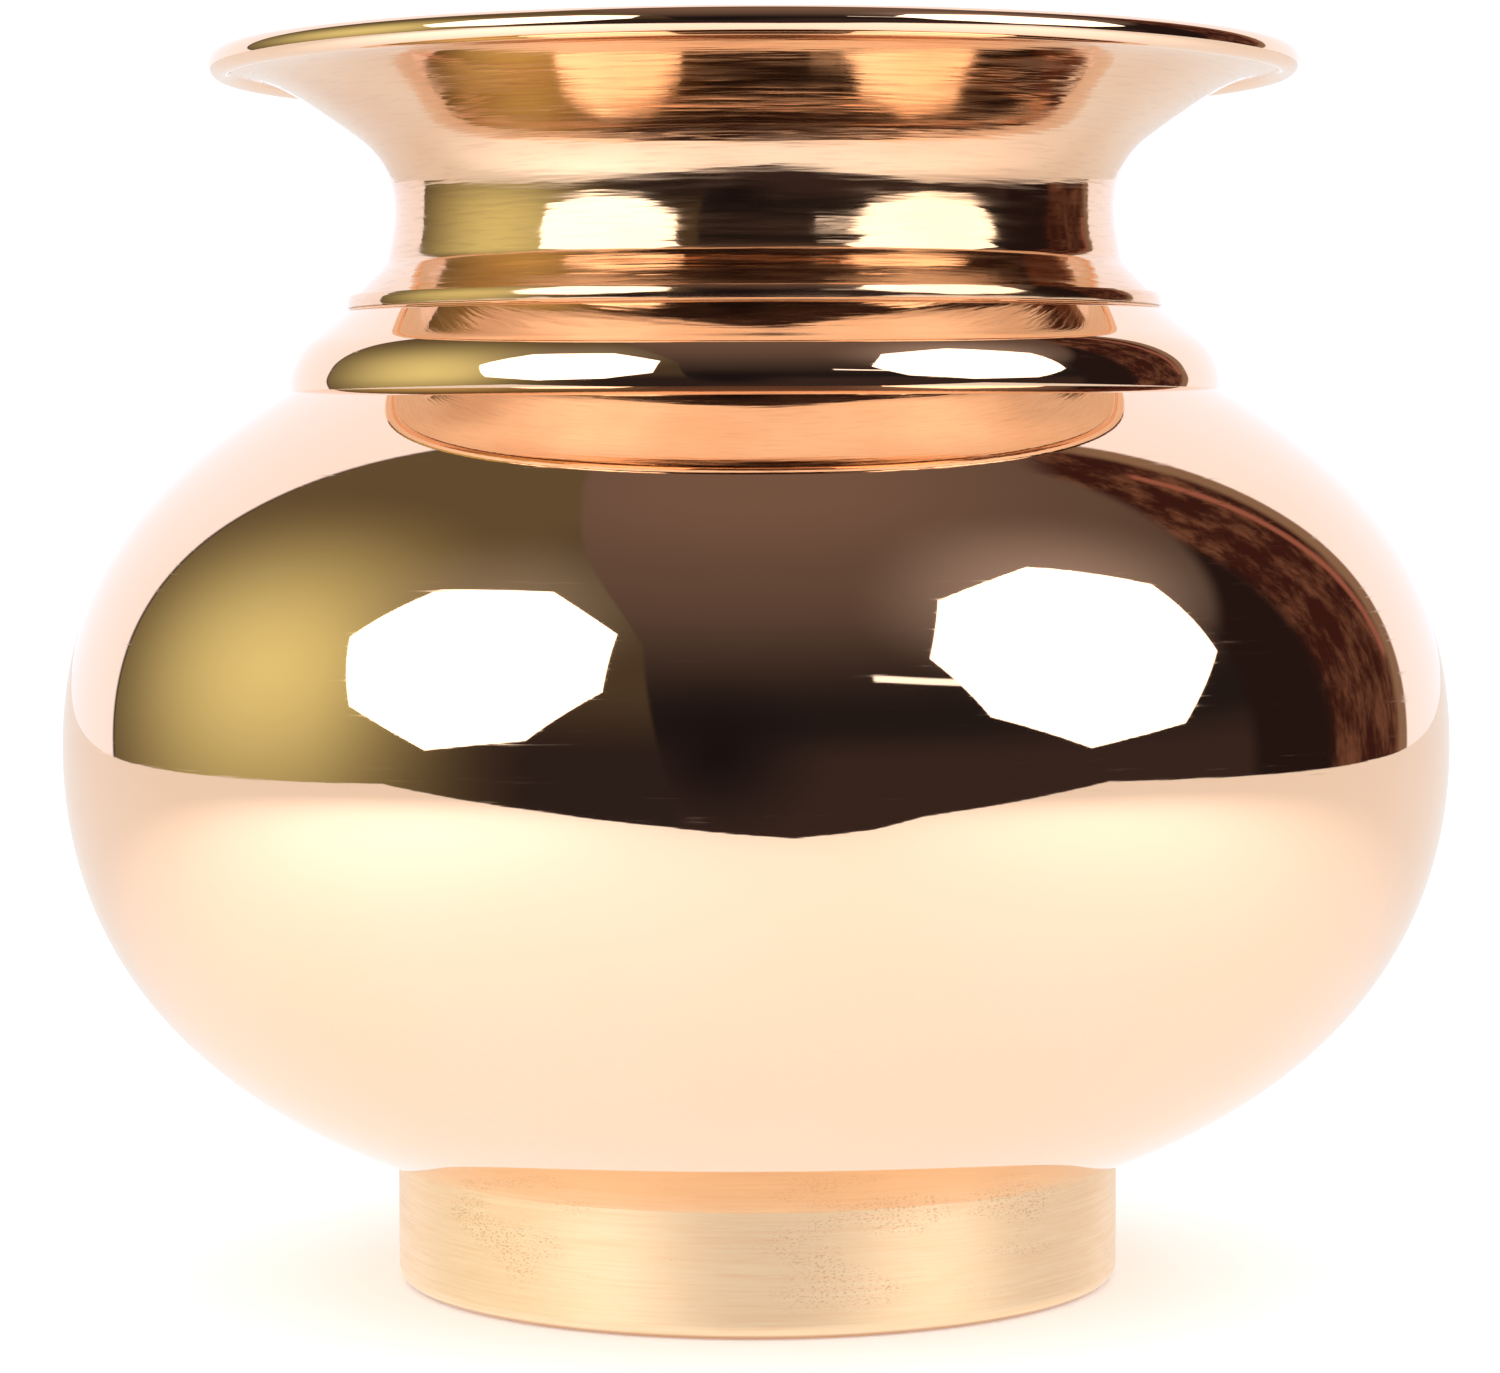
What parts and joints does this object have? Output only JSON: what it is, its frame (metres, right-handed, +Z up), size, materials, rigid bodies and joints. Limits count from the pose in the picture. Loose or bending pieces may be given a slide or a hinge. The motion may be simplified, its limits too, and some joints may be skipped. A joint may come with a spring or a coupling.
{
  "type": "kalash water pot",
  "caption": "Small copper kalash: round-bellied water pot with a waisted neck, wide flared mouth with a rolled lip, a round collar moulding and a plain ring foot.",
  "frame": {"origin": "on the pot's axis, in the plane that the foot stands on", "axes": "+Z up along the axis, +X to the right as seen from the front, -Y towards the front"},
  "size_m": [0.1128, 0.1128, 0.1],
  "materials": {
    "mirror_copper": "mirror-polished copper, fine wiping scratches",
    "turned_copper": "polished copper with fine turned lines round it",
    "satin_copper": "satin copper with turned lines and small pits",
    "braze": "plain brazed fillet, wiped but not polished",
    "wire_brass": "drawn brass wire"
  },
  "bodies": {
    "root": {"mouth_flare": "turned_copper", "rim_wire": "wire_brass", "neck_collar": "mirror_copper", "shoulder_shell": "mirror_copper", "belly_shell": "mirror_copper", "foot_ring": "satin_copper", "neck_braze": "braze", "collar_braze": "braze", "belly_braze": "braze", "foot_braze": "braze"}
  },
  "joints": []
}
